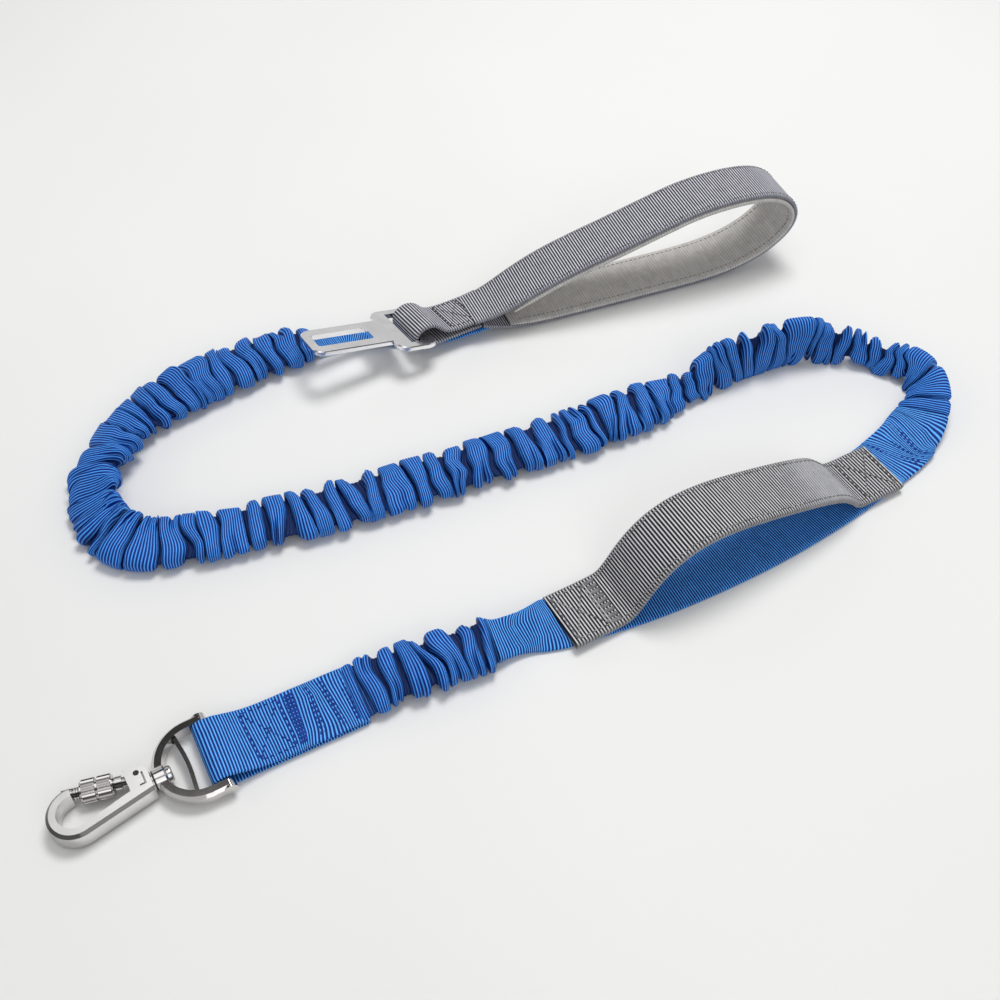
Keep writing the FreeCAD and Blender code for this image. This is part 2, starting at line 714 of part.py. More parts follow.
def route_report():
    for name, route in ROUTES.items():
        points = [V(x, y, 0) for x, y in route]
        radii = [arc_radius(*trio)[0] for trio in zip(points, points[1:], points[2:])]
        length = sum(
            edge_of((start, middle, end)).Length
            for start, middle, end, _ in route_pieces(route)
        )
        print(name, "length", round(length, 1), "radii", [round(r) for r in radii])


def main():
    os.makedirs("parts", exist_ok=True)
    whole = FreeCAD.BoundBox()
    for name, make in NODES.items():
        shape = make()
        shape.translate(-LAYOUT_CENTRE)
        shape.exportStep(f"parts/{name}.step")
        whole.add(shape.BoundBox)
        print(name, "solids", len(shape.Solids), "valid", shape.isValid(),
              "volume", round(shape.Volume, 1))
    print("box", whole)
    route_report()


main()
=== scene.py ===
import math

import bpy
import numpy as np
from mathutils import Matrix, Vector


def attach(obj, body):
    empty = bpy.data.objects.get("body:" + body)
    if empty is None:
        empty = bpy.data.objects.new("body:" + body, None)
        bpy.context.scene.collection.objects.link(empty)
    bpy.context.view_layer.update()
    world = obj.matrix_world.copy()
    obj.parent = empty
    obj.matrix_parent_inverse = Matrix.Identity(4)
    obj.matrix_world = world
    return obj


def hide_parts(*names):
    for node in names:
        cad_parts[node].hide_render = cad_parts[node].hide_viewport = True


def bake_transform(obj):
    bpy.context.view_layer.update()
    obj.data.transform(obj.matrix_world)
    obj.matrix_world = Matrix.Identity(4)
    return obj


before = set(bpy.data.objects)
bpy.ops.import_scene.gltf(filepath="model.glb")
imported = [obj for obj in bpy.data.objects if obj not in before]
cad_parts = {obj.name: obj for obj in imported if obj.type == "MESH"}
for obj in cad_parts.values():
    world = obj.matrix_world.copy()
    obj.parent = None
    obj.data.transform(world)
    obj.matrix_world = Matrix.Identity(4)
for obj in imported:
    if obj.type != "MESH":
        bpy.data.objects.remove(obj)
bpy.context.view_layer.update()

MM = 0.001
CENTRE = np.array([-3.5525, -0.1925, 0.0])     # the row frame's origin, in layout coordinates, mm
SCENE = bpy.context.scene


# ---- camera ---------------------------------------------------------------------------
CAMERA_AT = (-11.0, -320.1, 366.0)      # layout coordinates, mm
CAMERA_TILT = 40.0                      # degrees up from straight down
LENS, SENSOR = 43.2, 36.0               # mm


def place(point):
    """A layout point in millimetres, as metres in the row frame."""
    return (np.asarray(point, float) - CENTRE) * MM


def add_camera():
    data = bpy.data.cameras.new("camera")
    data.lens = LENS
    data.sensor_width = SENSOR
    camera = bpy.data.objects.new("camera", data)
    SCENE.collection.objects.link(camera)
    camera.location = place(CAMERA_AT)
    camera.rotation_euler = (math.radians(CAMERA_TILT), 0.0, 0.0)
    return camera


camera = add_camera()
bpy.context.scene.camera = camera


# ---- paths ----------------------------------------------------------------------------
def nurbs(points):
    """Points along the quadratic NURBS curve of these control points, any three numbers each."""
    curve = bpy.data.curves.new("path", "CURVE")
    curve.dimensions = "3D"
    spline = curve.splines.new("NURBS")
    spline.points.add(len(points) - 1)
    for slot, point in zip(spline.points, points):
        slot.co = (*[float(v) for v in point], 1.0)
    spline.order_u = 3
    spline.use_endpoint_u = True
    spline.resolution_u = 24
    holder = bpy.data.objects.new("path", curve)
    mesh = bpy.data.meshes.new_from_object(holder)
    found = np.array([v.co for v in mesh.vertices], float)
    bpy.data.meshes.remove(mesh)
    bpy.data.objects.remove(holder)
    bpy.data.curves.remove(curve)
    return found


class Path:
    """A centreline with a right-hand side vector, an up vector and channels, all against length in mm.

    A row is x, y, z, roll in degrees, then the channels: half width, half thickness, fold depth,
    edge depth, wander. What a row leaves out is 0."""

    ROW = 9
    REPEATED = 1e-5     # mm: points of the curve closer than this are one point

    def __init__(self, rows, side=None):
        rows = [list(r) + [0.0] * (self.ROW - len(r)) for r in rows]
        points = nurbs([r[:3] for r in rows])
        first = nurbs([r[3:6] for r in rows])
        second = nurbs([r[6:9] for r in rows])
        step = np.linalg.norm(np.diff(points, axis=0), axis=1)
        keep = np.concatenate([[True], step > self.REPEATED])
        points, first, second = points[keep], first[keep], second[keep]
        step = np.linalg.norm(np.diff(points, axis=0), axis=1)
        self.s = np.concatenate([[0], np.cumsum(step)])
        self.length = self.s[-1]
        tangent = np.gradient(points, self.s, axis=0)
        tangent /= np.linalg.norm(tangent, axis=1, keepdims=True)
        if side is None:
            right = np.cross(tangent, [0, 0, 1.0])
            right /= np.linalg.norm(right, axis=1, keepdims=True)
        else:
            right = np.tile(np.asarray(side, float), (len(points), 1))
        over = np.cross(right, tangent)
        roll = np.radians(first[:, 0:1])
        self.points = points
        self.right = right * np.cos(roll) + over * np.sin(roll)
        self.up = over * np.cos(roll) - right * np.sin(roll)
        self.channels = np.hstack([first[:, 1:], second])
        turn = np.gradient(tangent, self.s, axis=0)
        self.bend = -np.sum(turn * self.right, axis=1, keepdims=True)

    def nearest(self, point):
        """Length along the path where it comes nearest to a point, seen from above."""
        gap = np.linalg.norm(self.points[:, :2] - np.asarray(point, float)[:2], axis=1)
        return float(self.s[int(np.argmin(gap))])

    def cut(self, start, end):
        """The part of the path between two lengths."""
        made = Path.__new__(Path)
        use = (self.s >= start) & (self.s <= end)
        for key in ("points", "right", "up", "channels", "bend"):
            setattr(made, key, getattr(self, key)[use])
        made.s = self.s[use] - self.s[use][0]
        made.length = made.s[-1]
        return made

    def raised(self, distance, start, end, half, thick):
        """The part between two lengths, moved along its up vector, for a strip that thins at its ends."""
        made = self.cut(start, end)
        made.points = made.points + made.up * distance
        step = np.linalg.norm(np.diff(made.points, axis=0), axis=1)
        made.s = np.concatenate([[0], np.cumsum(step)])
        made.length = made.s[-1]
        made.channels = np.tile([half, thick, 0.0, 0.0, 0.0], (len(made.s), 1))
        made.channels[:, 1] = thick * (0.35 + 0.65 * both_ends(made.s, made.length, 0, 10))
        return made

    def at(self, s, values):
        """The values, one row for each of the path's points, at any lengths s."""
        flat = np.clip(np.ravel(s), 0, self.length)
        found = np.stack([np.interp(flat, self.s, column) for column in values.T], axis=1)
        return found.reshape(*np.shape(s), values.shape[1])

    def declared(self, every=3):
        return [list(p) for p in place(self.points[::every])] + [list(place(self.points[-1]))]


def wobble(t, scale, rng, size=1.0):
    """Smooth random values along t, about one turn every 2 x scale."""
    low, high = float(np.min(t)), float(np.max(t))
    count = max(4, int((high - low) / scale) + 4)
    knots = rng.normal(0, 1, count)
    x = (np.asarray(t) - low) / scale
    i = np.clip(x.astype(int), 0, count - 2)
    f = np.clip(x - i, 0, 1)
    f = f * f * (3 - 2 * f)
    return size * (knots[i] * (1 - f) + knots[i + 1] * f)


def smooth(x, low, high):
    """0 below low, 1 above high, and an S-curve between."""
    f = np.clip((x - low) / (high - low), 0, 1)
    return f * f * (3 - 2 * f)


def both_ends(t, length, start, end):
    """0 within start of either end of a length, rising to 1 at end."""
    return smooth(t, start, end) * smooth(length - t, start, end)


def rounded(away, gap):
    """Height of a fold, 0 to 1, at a distance from its gap: flat floor, steep wall, round shoulder."""
    floor, wall = 0.52, 0.9     # as parts of the gap
    rise = np.clip((away - floor * gap) / (wall * gap), 0, 1)
    return np.sqrt(1 - (1 - rise) ** 2)


# ---- woven pieces ---------------------------------------------------------------------
FINE = 0.03                     # mm between the samples that the folds are laid out on
GATHERED_FROM = 2.5             # mm of fold depth from which a stretch counts as fully gathered
GAP_SIZE = (0.55, 1.25)         # mm, least and most
GAP_TAPER = (0.3, 0.8)          # how much wider a gap gets towards one edge of the strap
PLEAT_HEIGHT = (0.80, 1.10)     # a pleat's height against the path's half thickness
PLEAT_TILT = (-0.18, 0.18)      # how much higher it is at one edge of the strap
PLEAT_SLOPE = (-0.22, 0.22)     # how much higher it is at its far side than in its middle
DART_AT = (0.38, 0.62)          # where along its pleat a dart lies
DART_DEPTH = (0.4, 1.0)         # part of the fold depth
DART_SPREAD = 0.075             # part of the pleat
RUFFLE, RUFFLE_LIMIT = 0.45, 0.9    # how unevenly the pleats end at the strap's edges
RUFFLE_REACH = 1.6              # mm
FADE = 9                        # mm at both ends of a piece over which its ribs straighten
FLOOR_GAP, GROOVE_GAP = 0.12, 0.15  # mm from the floor to a rib, and more to a groove
CALM_RIB = 0.72                 # rib shade where the ribs lie flat and close
SELVEDGE_RIB = 0.6              # rib shade of the woven edge


def ring_of(columns, squareness):
    """A rounded flat section: across and up, each -1 to 1, going round from the right edge."""
    angle = 2 * np.pi * (np.arange(columns) + 0.5) / columns
    angle = angle - 0.22 * np.sin(2 * angle)        # more points near the two edges
    across, up = np.cos(angle), np.sin(angle)
    power = 2.0 / squareness
    across = np.sign(across) * np.abs(across) ** power
    up = np.sign(up) * np.abs(up) ** power
    return across, up


class Woven:
    """A strap or gathered sleeve of ribbed webbing along a path, as a grid of sections.

    Each row of the grid is one section. Its t is the length along the path in mm, and its f the
    length along the fabric, which goes over every fold. Round a section, c goes across from -1 to
    1, and u is 1 on the upper side and -1 on the lower. A pleat is one fold with a gap on each
    side of it."""

    def __init__(self, name, path, seed, pitch=0.95, rib=0.26, columns=56, squareness=2.7,
                 samples=4, pleat=7.2, jitter=0.28, valley=1.0, overhang=0.35, darts=0.8,
                 ruffled=1.0, shingle=0.0, crinkle=0.0, selvedge=0.0, skew=None, calm=None):
        rng = np.random.default_rng(seed)
        self.name, self.path = name, path
        self.c, self.u = ring_of(columns, squareness)
        self.lay_pleats(rng, pleat, jitter, valley)
        self.lay_rows(pitch, samples, overhang)
        drift = self.drift(rng, skew)
        side, tall = self.section(rng, pleat, darts, ruffled, shingle)
        along = self.t[:, None] + self.push[:, None] * (0.7 + 0.3 * self.u) + drift
        grid = path.at(along, path.points)
        grid = grid + path.at(along, path.right) * side[..., None]
        grid = grid + path.at(along, path.up) * tall[..., None]
        if crinkle:
            grid = grid + path.at(self.t, path.up)[:, None, :] * self.crinkles(rng, side, crinkle)
        self.grid = self.ribbed(grid, rib)
        self.shade(selvedge, calm)

    def lay_pleats(self, rng, pleat, jitter, valley):
        """Where the pleats are along the path, and how wide the gaps between them are."""
        self.count = max(1, int(round(self.path.length / pleat)))
        marks = np.cumsum(np.concatenate([[0], np.exp(rng.normal(0, jitter, self.count))]))
        self.marks = marks / marks[-1] * self.path.length
        self.gap = rng.uniform(*GAP_SIZE, self.count + 1) * valley
        taper = rng.uniform(*GAP_TAPER, self.count + 1)
        self.taper = taper * rng.choice([-1.0, 1.0], self.count + 1)

    def lay_rows(self, pitch, samples, overhang):
        """Rows at equal steps along the fabric, a whole number of them to each rib."""
        length = self.path.length
        fine = np.linspace(0, length, int(length / FINE))
        pleat_of = np.clip(np.searchsorted(self.marks, fine, side="right") - 1, 0, self.count - 1)
        span = np.diff(self.marks)[pleat_of]
        part = np.clip((fine - self.marks[pleat_of]) / span, 0, 1)
        away = np.minimum(part, 1 - part) * span
        lift = rounded(away, self.gap[pleat_of + (part > 0.5)])
        fold = self.path.at(fine, self.path.channels)[:, 2]
        push = -overhang * np.sin(2 * np.pi * part) * np.clip(fold / GATHERED_FROM, 0, 1)
        run = np.gradient(fine + push, fine)
        climb = np.gradient(fold * lift, fine)
        woven = np.concatenate([[0], np.cumsum(np.hypot(run, climb)[1:] * np.diff(fine))])
        self.f = f = np.linspace(0, woven[-1], max(8, int(woven[-1] / pitch * samples)))
        self.pitch = samples * (f[1] - f[0])
        self.t = np.interp(f, woven, fine)
        self.push, self.lift = np.interp(f, woven, push), np.interp(f, woven, lift)
        self.pleat_of = pleat_of[np.clip(np.searchsorted(woven, f), 0, len(fine) - 1)]
        self.part = np.interp(f, woven, part)
        self.away = np.interp(f, woven, away)
        channels = self.path.at(self.t, self.path.channels).T
        self.half, self.thick, self.fold, self.edge, self.wander = channels
        self.strong = np.clip(self.fold / GATHERED_FROM, 0, 1)[:, None]

    def drift(self, rng, skew):
        """How far the ribs stray along the strap: they lean, bend in an S, bow and wave."""
        c = self.c
        ends = both_ends(self.t, self.path.length, 0, FADE)
        stray = 0
        for scale, size, shape in ((9.5, 1.35, c), (11.0, 0.75, np.sin(np.pi * c)),
                                   (10.0, 0.9, c * c - 0.4), (9.0, 0.3, np.sin(2 * np.pi * c + 1.0))):
            stray = stray + (wobble(self.t, scale, rng, size) * ends)[:, None] * shape
        stray = stray * self.wander[:, None]
        if skew is not None:
            stray = stray + skew(self.t)[:, None] * c
        return stray

    def section(self, rng, pleat, darts, ruffled, shingle):
        """Distance to the side and upwards of every grid point from the path, in mm."""
        c, count, pleat_of = self.c, self.count, self.pleat_of
        lift = self.lift[:, None]
        taller = rng.uniform(*PLEAT_HEIGHT, count)[pleat_of][:, None]
        tilt = rng.uniform(*PLEAT_TILT, count)[pleat_of][:, None]
        slope = (shingle + rng.uniform(*PLEAT_SLOPE, count))[pleat_of] * (2 * self.part - 1)
        height = 1 + self.strong * lift * (taller - 1 + tilt * c + slope[:, None])

        # each gap widens towards one edge of the strap, and a wide pleat has a dart in one edge
        nearest_gap = pleat_of + (self.part > 0.5)
        gap = self.gap[nearest_gap][:, None] * (1 + self.taper[nearest_gap][:, None] * c)
        risen = rounded(self.away[:, None], gap)
        wide = np.diff(self.marks)[pleat_of] > pleat * 0.95
        dart_at = rng.uniform(*DART_AT, count)[pleat_of]
        dart_edge = rng.choice([-1.0, 1.0], count)[pleat_of][:, None]
        depth = (rng.uniform(*DART_DEPTH, count)[pleat_of] * wide * darts)[:, None]
        dart = np.exp(-(((self.part - dart_at) / DART_SPREAD) ** 2))[:, None]
        risen = risen - depth * dart * smooth(c * dart_edge, -0.1, 0.85)

        side = (self.half[:, None] - self.edge[:, None] * (1 - risen)) * c
        ruffle = rng.normal(0, RUFFLE * ruffled, (count, 2))
        ruffle = np.clip(ruffle, -RUFFLE_LIMIT, RUFFLE_LIMIT)[pleat_of]
        ruffle = ruffle[:, [0]] * (c > 0) + ruffle[:, [1]] * (c < 0)
        side = side + np.sign(c) * np.abs(c) ** 4 * ruffle * self.strong * lift * RUFFLE_REACH
        tall = (self.thick[:, None] - self.fold[:, None] * (1 - risen)) * height * self.u
        # open falls in the gaps between pleats, and the fabric materials paint shade there by it
        self.open = 1 - self.strong * (1 - np.clip(risen, 0, 1))
        return side, tall

    def crinkles(self, rng, side, crinkle):
        """Small creases, in mm upwards, on the inside of a bend."""
        bend = self.path.at(self.t, self.path.bend)
        inner = smooth(-bend * side, 0.10, 0.26)
        noise = np.stack([wobble(self.f + 13.7 * j, 1.4, rng) for j in range(6)], axis=1)
        spot = (self.c + 1) * 2.5
        j = np.clip(spot.astype(int), 0, 4)
        w = np.clip(spot - j, 0, 1)
        mixed = noise[:, j] * (1 - w) + noise[:, j + 1] * w
        return (crinkle * inner * mixed)[..., None]

    def ribbed(self, grid, rib):
        """The grid with a round rib raised along every pick of the weave, resting on the floor."""
        self.phase = (self.f / self.pitch) % 1.0
        dome = np.sqrt(np.clip(1 - (2 * self.phase - 1) ** 2, 0, 1))
        grid = grid + self.normals(grid) * (rib * (dome - 0.75))[:, None, None]
        grid[..., 2] = np.maximum(grid[..., 2], FLOOR_GAP + GROOVE_GAP * (1 - dome)[:, None])
        return grid

    def shade(self, selvedge, calm):
        """The rib attribute: 0 between ribs and 1 on them, with plain edges. The fabric materials turn it
        into painted shade between the ribs and a painted highlight on them.
        """
        edge = selvedge * smooth(np.abs(self.c), 0.90, 0.97)
        ribs = 0.5 - 0.5 * np.cos(2 * np.pi * self.phase)
        if calm is not None:
            ribs = ribs + (CALM_RIB - ribs) * calm(self.t)
        self.rib = ribs[:, None] * (1 - edge) + SELVEDGE_RIB * edge

    @staticmethod
    def normals(grid):
        down = np.gradient(grid, axis=0)
        over = np.roll(grid, -1, axis=1) - np.roll(grid, 1, axis=1)
        normal = np.cross(over, down)
        size = np.linalg.norm(normal, axis=2, keepdims=True)
        normal = normal / np.maximum(size, 1e-9)
        middle = grid.mean(axis=1, keepdims=True)
        outward = np.sign(np.sum(normal * (grid - middle)))
        return normal * outward

    def surface(self, t, c, top=True):
        """Point and outward normal on the upper or lower side, at length t and across c."""
        use = np.where(self.u > 0 if top else self.u < 0)[0]
        order = use[np.argsort(self.c[use])]
        row = np.interp(t, self.t, np.arange(len(self.t)))
        i = int(np.clip(round(row), 2, len(self.t) - 3))
        band = self.grid[max(0, i - 3):i + 4][:, order].mean(axis=0)

        def at(c):
            return np.array([np.interp(c, self.c[order], band[:, k]) for k in range(3)])

        far = self.grid[min(len(self.t) - 1, i + 6), order].mean(axis=0)
        near = self.grid[max(0, i - 6), order].mean(axis=0)
        normal = np.cross(at(c + 0.06) - at(c - 0.06), far - near)
        normal /= np.linalg.norm(normal)
        up = self.path.at(t, self.path.up)
        if np.dot(normal, up) * (1 if top else -1) < 0:
            normal = -normal
        return at(c), normal

    def build(self):
        rows, columns, _ = self.grid.shape
        corners = np.arange(rows * columns).reshape(rows, columns)
        a, b = corners[:-1], corners[1:]
        quads = np.stack([a, np.roll(a, -1, 1), np.roll(b, -1, 1), b], axis=2).reshape(-1, 4)
        points = [self.grid.reshape(-1, 3), self.grid[0].mean(0)[None], self.grid[-1].mean(0)[None]]
        start = rows * columns
        caps = [(start, corners[0, (j + 1) % columns], corners[0, j]) for j in range(columns)]
        caps += [(start + 1, corners[-1, j], corners[-1, (j + 1) % columns]) for j in range(columns)]
        # rib and fold drive the painted shade and highlight that the fabric materials put into the colour
        attributes = {
            "rib": np.concatenate([self.rib.ravel(), [0, 0]]),
            "fold": np.concatenate([self.open.ravel(), [0, 0]]),
        }
        spread = self.half[:, None] * self.c[None, :]
        fabric = np.stack([np.repeat(self.f[:, None], columns, 1), spread, 0 * spread], axis=2)
        fabric = np.concatenate([fabric.reshape(-1, 3), np.zeros((2, 3))]) * MM
        return make_mesh(self.name, np.concatenate(points), [quads, np.array(caps)], attributes, fabric)


def make_mesh(name, points, faces, attributes=None, fabric=None):
    """A smooth mesh object from layout points in mm and arrays of quads or triangles."""
    mesh = bpy.data.meshes.new(name)
    points = place(points)
    mesh.vertices.add(len(points))
    mesh.vertices.foreach_set("co", points.astype(np.float32).ravel())
    loops = np.concatenate([f.ravel() for f in faces])
    sizes = np.concatenate([np.full(len(f), f.shape[1]) for f in faces])
    mesh.loops.add(len(loops))
    mesh.loops.foreach_set("vertex_index", loops.astype(np.int32))
    mesh.polygons.add(len(sizes))
    starts = np.concatenate([[0], np.cumsum(sizes)[:-1]])
    mesh.polygons.foreach_set("loop_start", starts.astype(np.int32))
    mesh.polygons.foreach_set("loop_total", sizes.astype(np.int32))
    mesh.polygons.foreach_set("use_smooth", np.full(len(sizes), True))
    mesh.update(calc_edges=True)
    mesh.validate()
    for key, values in (attributes or {}).items():
        layer = mesh.attributes.new(key, "FLOAT", "POINT")
        layer.data.foreach_set("value", values.astype(np.float32))
    if fabric is not None:
        layer = mesh.attributes.new("fabric", "FLOAT_VECTOR", "POINT")
        layer.data.foreach_set("vector", fabric.astype(np.float32).ravel())
    made = bpy.data.objects.new(name, mesh)
    SCENE.collection.objects.link(made)
    return made


CAPSULE = [(-0.5, 0.25), (-0.42, 0.75), (-0.2, 1.0), (0.2, 1.0), (0.42, 0.75), (0.5, 0.25)]
CAPSULE_SIDES = 8
STITCH_SEED, STITCH_JITTER = 5, 0.12


def stitch_mesh(name, places, length, radius):
    """Thread: one capsule with dipped ends for each (point, direction, normal)."""
    points, faces = [], []
    for point, direction, normal in places:
        direction = direction / np.linalg.norm(direction)
        side = np.cross(direction, normal)
        side /= np.linalg.norm(side)
        lift = np.cross(side, direction)
        base = len(points)
        for at, size in CAPSULE:
            dip = -radius * 1.3 * (2 * at) ** 4
            for k in range(CAPSULE_SIDES):
                a = 2 * math.pi * k / CAPSULE_SIDES
                points.append(point + direction * at * length
                              + lift * (dip + radius * size * math.sin(a))
                              + side * radius * size * math.cos(a))
        for ring in range(len(CAPSULE) - 1):
            this, following = base + ring * CAPSULE_SIDES, base + (ring + 1) * CAPSULE_SIDES
            for k in range(CAPSULE_SIDES):
                beside = (k + 1) % CAPSULE_SIDES
                faces.append((this + k, this + beside, following + beside, following + k))
    return make_mesh(name, np.array(points), [np.array(faces)])


def stitch_lines(name, woven, lines, spacing=2.3, length=1.9, radius=0.27, top=True, lift=0.1):
    """Stitches along straight lines given as (t, c) to (t, c) on a woven piece."""
    rng = np.random.default_rng(STITCH_SEED)
    places = []
    for (t0, c0), (t1, c1) in lines:
        half = float(np.interp(t0, woven.t, woven.half))
        count = max(1, int(math.hypot(t1 - t0, (c1 - c0) * half) / spacing))
        for k in range(count):
            a = (k + 0.5) / count
            t, c = t0 + (t1 - t0) * a, c0 + (c1 - c0) * a
            d = 0.4 / count
            point, normal = woven.surface(t, c, top)
            ahead, _ = woven.surface(t + (t1 - t0) * d, c + (c1 - c0) * d, top)
            behind, _ = woven.surface(t - (t1 - t0) * d, c - (c1 - c0) * d, top)
            step = ahead - behind
            direction = step + rng.normal(0, STITCH_JITTER, 3) * np.linalg.norm(step)
            places.append((point + normal * lift, direction, normal))
    return stitch_mesh(name, places, length, radius)


# ---- materials ------------------------------------------------------------------------
def new_material(name):
    material = bpy.data.materials.new(name)
    material.use_nodes = True
    tree = material.node_tree
    tree.nodes.clear()
    out = tree.nodes.new("ShaderNodeOutputMaterial")
    shader = tree.nodes.new("ShaderNodeBsdfPrincipled")
    tree.links.new(shader.outputs[0], out.inputs[0])
    return material, tree, shader


def node(tree, kind, inputs=None, **settings):
    """A shader node, with its inputs linked to sockets or set to values."""
    made = tree.nodes.new(kind)
    for key, value in settings.items():
        setattr(made, key, value)
    for key, value in (inputs or {}).items():
        if isinstance(value, bpy.types.NodeSocket):
            tree.links.new(value, made.inputs[key])
        else:
            made.inputs[key].default_value = value
    return made


def ramp(tree, value, stops):
    made = tree.nodes.new("ShaderNodeValToRGB")
    tree.links.new(value, made.inputs[0])
    elements = made.color_ramp.elements
    while len(elements) < len(stops):
        elements.new(0.5)
    for element, (at, colour) in zip(elements, stops):
        element.position = at
        element.color = (*colour, 1.0)
    return made.outputs[0]


def attribute(tree, name, output="Fac"):
    return node(tree, "ShaderNodeAttribute", attribute_name=name).outputs[output]


def noise(tree, vector, scale, detail):
    made = node(tree, "ShaderNodeTexNoise", {"Vector": vector, "Scale": scale, "Detail": detail})
    return made.outputs["Fac"]


def remap(tree, value, low, high, to_low, to_high):
    made = node(tree, "ShaderNodeMapRange", {"Value": value, "From Min": low, "From Max": high,
                                             "To Min": to_low, "To Max": to_high})
    return made.outputs[0]


def maths(tree, operation, *values, kind="ShaderNodeMath"):
    return node(tree, kind, dict(enumerate(values)), operation=operation).outputs[0]


def scaled(tree, vector, factor):
    made = node(tree, "ShaderNodeVectorMath", {0: vector, "Scale": factor}, operation="SCALE")
    return made.outputs[0]


def grey(value):
    return (value, value, value)


VECTORS = "ShaderNodeVectorMath"
WHITE = grey(1)


def fabric_material(name, stops, groove=0.25, roughness=0.5, yarn=1.0, specular=0.16,
                    gap_shade_colour=(0.0, 0.0, 0.0)):
    """Ribbed webbing: stops colour it from between the ribs to the top of one, a painted shade between
    the ribs rising to a painted highlight on their tops. Groove darkens it inside the gaps between pleats
    towards pit, a painted shade, and a fine twill grain is on the yarn."""
    material, tree, shader = new_material(name)
    fabric = attribute(tree, "fabric", "Vector")
    # painted shade between the ribs and painted highlight on the rib tops, from the rib attribute
    base = ramp(tree, attribute(tree, "rib"), stops)
    blotch = noise(tree, fabric, 260.0, 3.0)
    drawn_out = node(tree, "ShaderNodeMapping", {"Vector": fabric, "Scale": (1.0, 0.12, 1.0)})
    streaks = noise(tree, drawn_out.outputs[0], 900.0, 2.0)
    tone = remap(tree, maths(tree, "ADD", blotch, streaks), 0.6, 1.4, 0.84, 1.16)
    # painted shade: the colour darkens in the gaps between pleats, towards pit
    gap_shade_factor = remap(tree, attribute(tree, "fold"), 0.0, 0.9, groove, 1.0)
    colour = scaled(tree, base, maths(tree, "MULTIPLY", tone, gap_shade_factor))
    inside = scaled(tree, gap_shade_colour, maths(tree, "SUBTRACT", 1.0, gap_shade_factor))
    colour = maths(tree, "ADD", colour, inside, kind=VECTORS)
    tree.links.new(colour, shader.inputs["Base Color"])
    twist = node(tree, "ShaderNodeTexWave", {"Vector": fabric, "Scale": 900.0, "Distortion": 0.6,
                                             "Detail": 1.0}, bands_direction="DIAGONAL")
    bump = node(tree, "ShaderNodeBump", {"Strength": 0.35 * yarn, "Distance": 0.00012,
                                         "Height": twist.outputs["Fac"]})
    tree.links.new(bump.outputs[0], shader.inputs["Normal"])
    shader.inputs["Roughness"].default_value = roughness
    shader.inputs["Specular IOR Level"].default_value = specular
    shader.inputs["Sheen Weight"].default_value = 0.01
    shader.inputs["Sheen Roughness"].default_value = 0.4
    return material


def thread_material(name, colour):
    material, tree, shader = new_material(name)
    where = node(tree, "ShaderNodeTexCoord").outputs["Object"]
    dark = tuple(v * 0.6 for v in colour)
    light = tuple(min(1.0, v * 1.3) for v in colour)
    paint = ramp(tree, noise(tree, where, 700.0, 2.0), [(0.3, dark), (0.5, colour), (0.7, light)])
    tree.links.new(paint, shader.inputs["Base Color"])
    shader.inputs["Roughness"].default_value = 0.55
    shader.inputs["Specular IOR Level"].default_value = 0.25
    return material


def metal_material(name, colour, roughness, bevel_shade=None):
    """Plated metal with uneven gloss and painted shade in its creases, where other surfaces are close.
    With a bevel grey given, the sloping faces between flat and upright ones are darkened to it as a
    painted dark reflection, and the flat faces are dull."""
    material, tree, shader = new_material(name)
    where = node(tree, "ShaderNodeTexCoord").outputs
    broad = noise(tree, where["Object"], 120.0, 4.0)
    low = tuple(v * 0.94 for v in colour)
    high = tuple(min(1.0, v * 1.04) for v in colour)
    paint = ramp(tree, broad, [(0.3, low), (0.7, high)])
    # painted shade: the colour darkens where other surfaces are close, in creases, holes and between
    # parts
    closed = node(tree, "ShaderNodeAmbientOcclusion", {"Distance": 0.0012}, samples=8).outputs["AO"]
    crease_shade = ramp(tree, closed, [(0.35, grey(0.12)), (0.8, WHITE)])
    paint = maths(tree, "MULTIPLY", paint, crease_shade, kind=VECTORS)
    if bevel_shade is not None:
        # painted dark reflection: faces that slope between flat and upright are darkened by the way they
        # face
        facing = node(tree, "ShaderNodeSeparateXYZ", {0: where["Normal"]}).outputs["Z"]
        flat = maths(tree, "ABSOLUTE", facing)
        dark = grey(bevel_shade)
        slope = ramp(tree, flat, [(0.28, WHITE), (0.42, dark), (0.90, dark), (0.97, WHITE)])
        paint = maths(tree, "MULTIPLY", paint, slope, kind=VECTORS)
        gloss = remap(tree, flat, 0.90, 0.97, roughness, 0.42)
    else:
        gloss = remap(tree, broad, 0.3, 0.7, roughness * 0.8, roughness * 1.2)
    tree.links.new(gloss, shader.inputs["Roughness"])
    tree.links.new(paint, shader.inputs["Base Color"])
    shader.inputs["Metallic"].default_value = 1.0
    return material


# Each list of stops runs from painted shade between the ribs to a painted highlight on the rib tops.
BLUE = fabric_material("blue_webbing", [
    (0.14, (0.001, 0.011, 0.11)), (0.40, (0.007, 0.070, 0.41)),
    (0.68, (0.024, 0.190, 0.72)), (0.92, (0.15, 0.52, 1.0))])
